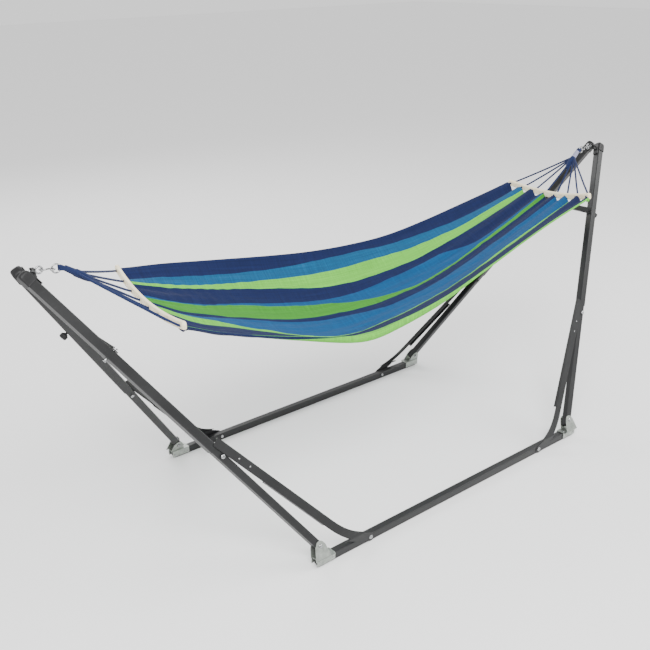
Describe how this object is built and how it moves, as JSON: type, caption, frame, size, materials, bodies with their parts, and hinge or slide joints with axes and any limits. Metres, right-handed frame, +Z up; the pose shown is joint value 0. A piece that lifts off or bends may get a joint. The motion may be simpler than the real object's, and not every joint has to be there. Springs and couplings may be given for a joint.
{
  "type": "hammock on folding stand",
  "caption": "Striped cloth hammock with wooden spreader bars hung in a folding dark steel stand with braced A-frame ends.",
  "frame": {"origin": "on the ground, under the middle of the stand", "axes": "+X along the hammock, +Y across it towards the rear rail, +Z up"},
  "size_m": [2.8826, 1.0296, 1.1295],
  "materials": {
    "frame_paint": "satin dark charcoal powder coat",
    "zinc_plate": "galvanised, slightly dull",
    "bright_steel": "bright zinc plated",
    "black_plastic": "matte moulded",
    "pale_wood": "pale clear-finished hardwood",
    "navy_cord": "twisted cotton cord",
    "striped_cloth": "woven cotton with stripes along its length"
  },
  "bodies": {
    "front_half": {"front_rail": "frame_paint", "rail_cap_front_left": "black_plastic", "corner_bracket_front_left": "zinc_plate", "corner_pin_front_left": "bright_steel", "lower_leg_front_left": "frame_paint", "upper_leg_front_left": "frame_paint", "top_cap_front_left": "black_plastic", "leg_bolt_front_left": "bright_steel", "brace_front_left": "frame_paint", "brace_bolt_front_left": "bright_steel", "apex_hinge_front_left": "frame_paint", "rail_cap_front_right": "black_plastic", "corner_bracket_front_right": "zinc_plate", "corner_pin_front_right": "bright_steel", "lower_leg_front_right": "frame_paint", "upper_leg_front_right": "frame_paint", "top_cap_front_right": "black_plastic", "leg_bolt_front_right": "bright_steel", "brace_front_right": "frame_paint", "brace_bolt_front_right": "bright_steel", "apex_hinge_front_right": "frame_paint", "eye_bolt_left": "bright_steel", "eye_bolt_right": "bright_steel", "spreader_stud_left": "bright_steel"},
    "rear_half": {"rear_rail": "frame_paint", "rail_cap_rear_left": "black_plastic", "corner_bracket_rear_left": "zinc_plate", "corner_pin_rear_left": "bright_steel", "lower_leg_rear_left": "frame_paint", "upper_leg_rear_left": "frame_paint", "top_cap_rear_left": "black_plastic", "leg_bolt_rear_left": "bright_steel", "brace_rear_left": "frame_paint", "brace_bolt_rear_left": "bright_steel", "apex_hinge_rear_left": "frame_paint", "rail_cap_rear_right": "black_plastic", "corner_bracket_rear_right": "zinc_plate", "corner_pin_rear_right": "bright_steel", "lower_leg_rear_right": "frame_paint", "upper_leg_rear_right": "frame_paint", "top_cap_rear_right": "black_plastic", "leg_bolt_rear_right": "bright_steel", "brace_rear_right": "frame_paint", "brace_bolt_rear_right": "bright_steel", "apex_hinge_rear_right": "frame_paint", "spreader_stud_right": "bright_steel"},
    "spreader_left": {"spreader_left": "frame_paint"},
    "spreader_right": {"spreader_right": "frame_paint"},
    "knob_left": {"knob_left": "black_plastic"},
    "knob_right": {"knob_right": "black_plastic"},
    "hammock": {"s_hook_left": "bright_steel", "s_hook_right": "bright_steel", "ring_left": "bright_steel", "ring_right": "bright_steel", "cords_left": "navy_cord", "cords_right": "navy_cord", "wooden_bar_left": "pale_wood", "wooden_bar_right": "pale_wood", "bed": "striped_cloth"}
  },
  "joints": [
    {"name": "frame_close", "type": "hinge", "parent": "front_half", "child": "rear_half", "pos_m": [0, 0, 1.113], "axis": [-1, 0, 0], "range_deg": [0, 42]},
    {"name": "spreader_left_swing", "type": "hinge", "parent": "rear_half", "child": "spreader_left", "pos_m": [-1.23679, 0.14087, 0.84097], "axis": [0.8224, 0, 0.569], "range_deg": [0, 100.1]},
    {"name": "spreader_right_swing", "type": "hinge", "parent": "front_half", "child": "spreader_right", "pos_m": [1.23679, -0.14087, 0.84097], "axis": [-0.8224, 0, 0.569], "range_deg": [0, 100.1]},
    {"name": "knob_left_turn", "type": "hinge", "parent": "rear_half", "child": "knob_left", "pos_m": [-1.23679, 0.14087, 0.84097], "axis": [0.8224, 0, 0.569], "range_deg": [0, 360]},
    {"name": "knob_right_turn", "type": "hinge", "parent": "front_half", "child": "knob_right", "pos_m": [1.23679, -0.14087, 0.84097], "axis": [-0.8224, 0, 0.569], "range_deg": [0, 360]},
    {"name": "hammock_swing", "type": "hinge", "parent": "front_half", "child": "hammock", "pos_m": [0, 0, 1.113], "axis": [1, 0, 0], "range_deg": [-25, 25]}
  ],
  "couplings": [
    {"joint": "spreader_left_swing", "follows": "frame_close", "ratio": 2.381},
    {"joint": "spreader_right_swing", "follows": "frame_close", "ratio": 2.381}
  ]
}
